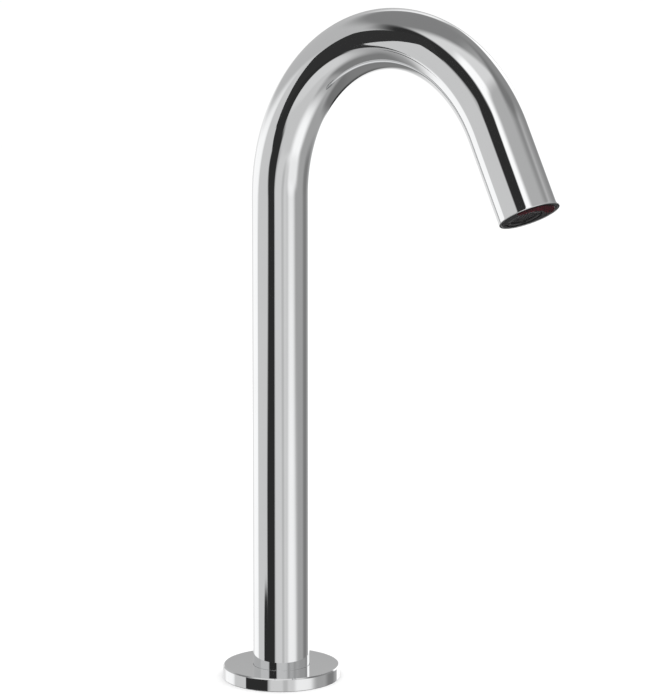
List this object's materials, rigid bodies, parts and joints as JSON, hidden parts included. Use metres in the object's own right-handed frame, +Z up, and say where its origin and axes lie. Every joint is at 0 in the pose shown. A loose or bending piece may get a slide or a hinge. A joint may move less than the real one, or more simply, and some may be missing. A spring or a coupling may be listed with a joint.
{
  "type": "sensor tap",
  "caption": "Tall deck-mounted sensor tap: straight round column on a low flange, bent over in one arch to a down-turned tip with an aerator and an infrared window.",
  "frame": {"origin": "on the deck's plane, at the column's axis: the centre of the flange's underside", "axes": "+Z up along the column, -Y the way the spout reaches, towards the user"},
  "size_m": [0.058, 0.2032, 0.4005],
  "materials": {
    "chrome": "polished chrome plate",
    "brass": "machined brass",
    "stainless": "stainless steel, pressed and turned",
    "black_rubber": "matt black rubber",
    "head_plastic": "moulded black plastic",
    "aerator_plastic": "moulded dark grey plastic",
    "window_red": "dark red infrared-clear plastic, polished",
    "board_green": "circuit board with green mask",
    "diode_clear": "tinted clear resin",
    "hose_white": "extruded white polythene",
    "lead_black": "black cable sheath"
  },
  "bodies": {
    "tap": {"spout_tube": "chrome", "base_flange": "chrome", "flange_o_ring": "black_rubber", "deck_gasket": "black_rubber", "foot_bush": "brass", "mounting_shank": "brass", "shank_end_guide": "head_plastic", "tail_connector": "brass", "cable_grommet": "black_rubber", "water_hose": "hose_white", "sensor_lead": "lead_black", "hose_ferrules": "stainless", "head_nipple": "brass", "nipple_seal": "black_rubber", "outlet_head": "head_plastic", "head_o_ring": "black_rubber", "grub_screw": "stainless", "sensor_window": "window_red", "sensor_board": "board_green", "infrared_emitter": "diode_clear", "infrared_receiver": "diode_clear", "sensor_cap": "head_plastic"},
    "clamp_washers": {"rubber_washer": "black_rubber", "steel_washer": "stainless"},
    "nut": {"fixing_nut": "brass"},
    "seal": {"aerator_seal": "black_rubber"},
    "aerator": {"aerator_housing": "aerator_plastic", "aerator_screen": "aerator_plastic", "flow_regulator": "aerator_plastic"}
  },
  "joints": [
    {"name": "nut_turn", "type": "hinge", "parent": "clamp_washers", "child": "nut", "pos_m": [0, 0, -0.03], "axis": [0, 0, 1], "range_deg": [-4802, 3602]},
    {"name": "clamp_travel", "type": "slide", "parent": "tap", "child": "clamp_washers", "axis": [0, 0, 1], "range_m": [-0.02, 0.015]},
    {"name": "aerator_turn", "type": "hinge", "parent": "seal", "child": "aerator", "pos_m": [0, -0.15867, 0.23723], "axis": [0, -0.454, -0.891], "range_deg": [0, 1801]},
    {"name": "aerator_travel", "type": "slide", "parent": "tap", "child": "seal", "axis": [0, -0.454, -0.891], "range_m": [0, 0.005]}
  ],
  "couplings": [
    {"joint": "nut_turn", "follows": "clamp_travel", "rad_per_m": 4188.8},
    {"joint": "aerator_turn", "follows": "aerator_travel", "rad_per_m": 6283.2}
  ]
}
